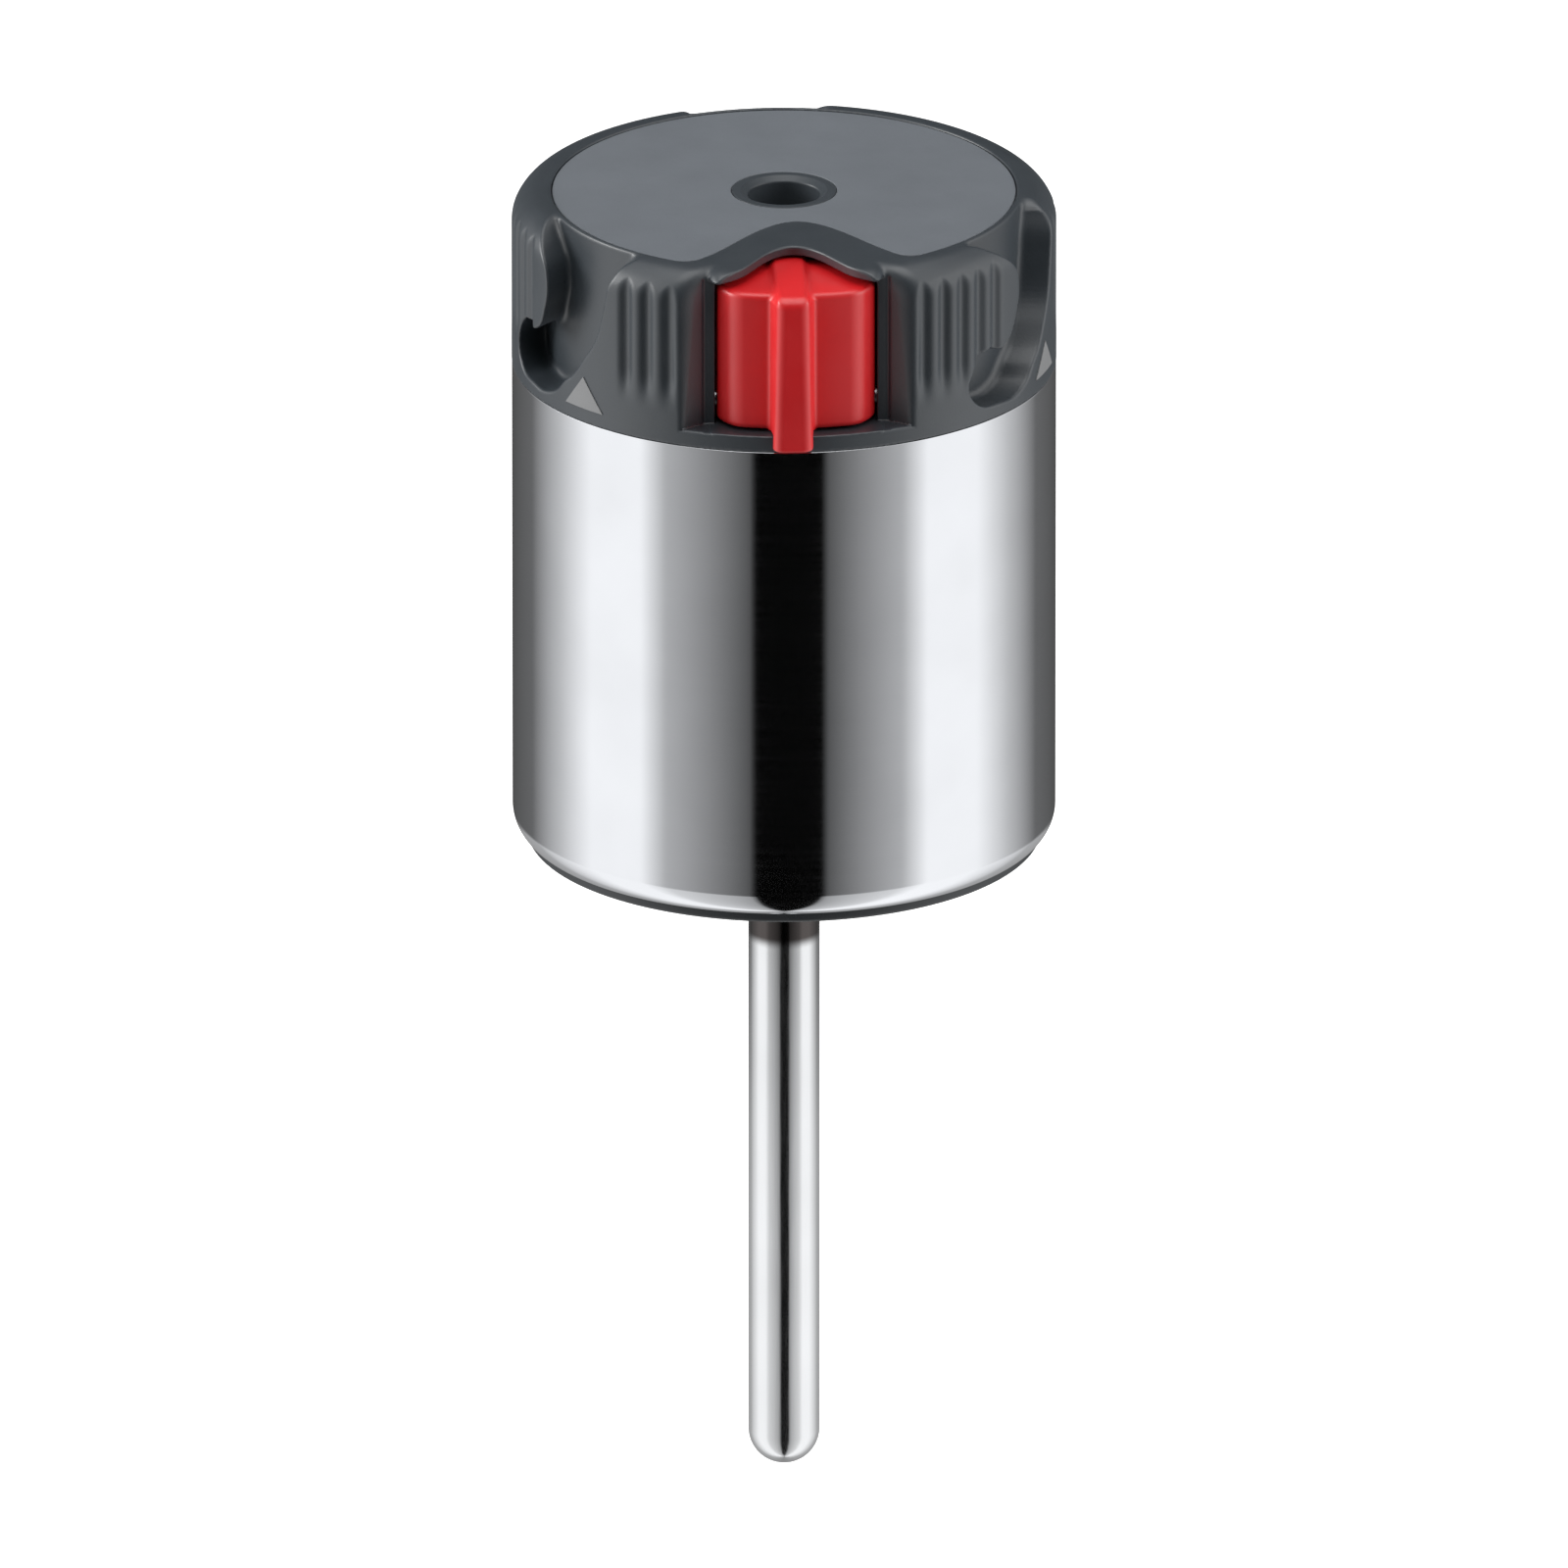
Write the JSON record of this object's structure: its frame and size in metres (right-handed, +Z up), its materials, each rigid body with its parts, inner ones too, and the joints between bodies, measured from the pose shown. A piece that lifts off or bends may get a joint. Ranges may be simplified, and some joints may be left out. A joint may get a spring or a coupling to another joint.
{
  "type": "sous vide immersion head",
  "caption": "Round steel immersion head with a moulded bayonet cap, sprung red latch, central plug socket and a slim round-tipped stem.",
  "frame": {"origin": "where the stem's axis meets the underside of the base plate", "axes": "+Z up along the stem and the head's axis, -Y towards the red latch, +X to the right seen from the latch's side"},
  "size_m": [0.061, 0.0625, 0.1524],
  "materials": {
    "can_steel": "mirror polished steel",
    "stem_steel": "satin ground steel",
    "cap_plastic": "fine spark-eroded moulding",
    "plate_plastic": "fine matt texture",
    "bezel_plastic": "satin moulding",
    "mark_print": "matt print",
    "latch_plastic": "satin moulding",
    "base_plastic": "satin moulding",
    "spring_steel": "drawn wire",
    "brass": "turned",
    "seal_rubber": "moulded",
    "ceramic": "unglazed ceramic",
    "nylon": "natural nylon",
    "board_green": "solder mask",
    "chip_black": "moulded epoxy",
    "sink_aluminium": "extruded",
    "can_blue": "shrink sleeve",
    "terminal_green": "moulded",
    "lead_red": "insulation",
    "lead_white": "glass sleeve",
    "lead_yellow": "insulation",
    "screw_zinc": "zinc plated",
    "heater_steel": "heat tinted",
    "sensor_glass": "potted bead"
  },
  "bodies": {
    "head": {"cap_shell": "cap_plastic", "top_plate": "plate_plastic", "socket_bezel": "bezel_plastic", "index_marks": "mark_print", "latch_pin": "screw_zinc", "latch_spring": "spring_steel", "contact_carrier": "nylon", "sleeve_contact": "brass", "contact_spring": "spring_steel", "socket_leads": "lead_red", "body_can": "can_steel", "cap_gasket": "seal_rubber", "base_plate": "base_plastic", "base_gasket": "seal_rubber", "probe_sheath": "stem_steel", "gland_nut": "brass", "probe_oring": "seal_rubber", "heater_cartridge": "heater_steel", "temp_sensor": "sensor_glass", "ceramic_bush": "ceramic", "thermal_fuse": "ceramic", "heater_leads": "lead_white", "sensor_leads": "lead_yellow", "board_frame": "nylon", "control_board": "board_green", "board_screws": "screw_zinc", "microcontroller": "chip_black", "power_transistor": "chip_black", "heat_sink": "sink_aluminium", "capacitors": "can_blue", "terminal_block": "terminal_green", "tie_posts": "brass", "tie_screws": "screw_zinc", "deck_screws": "screw_zinc"},
    "latch": {"latch_button": "latch_plastic"},
    "plunger": {"centre_contact": "brass"}
  },
  "joints": [
    {"name": "latch_rock", "type": "hinge", "parent": "head", "child": "latch", "pos_m": [0, -0.024, 0.061], "axis": [-1, 0, 0], "range_deg": [0, 8], "stiffness_Nm_per_rad": 0.3, "springref_deg": -5.73, "deforming": ["latch_spring"]},
    {"name": "contact_press", "type": "slide", "parent": "head", "child": "plunger", "axis": [0, 0, -1], "range_m": [0, 0.0015], "stiffness_N_per_m": 300, "springref_m": -0.002, "deforming": ["contact_spring"]}
  ]
}
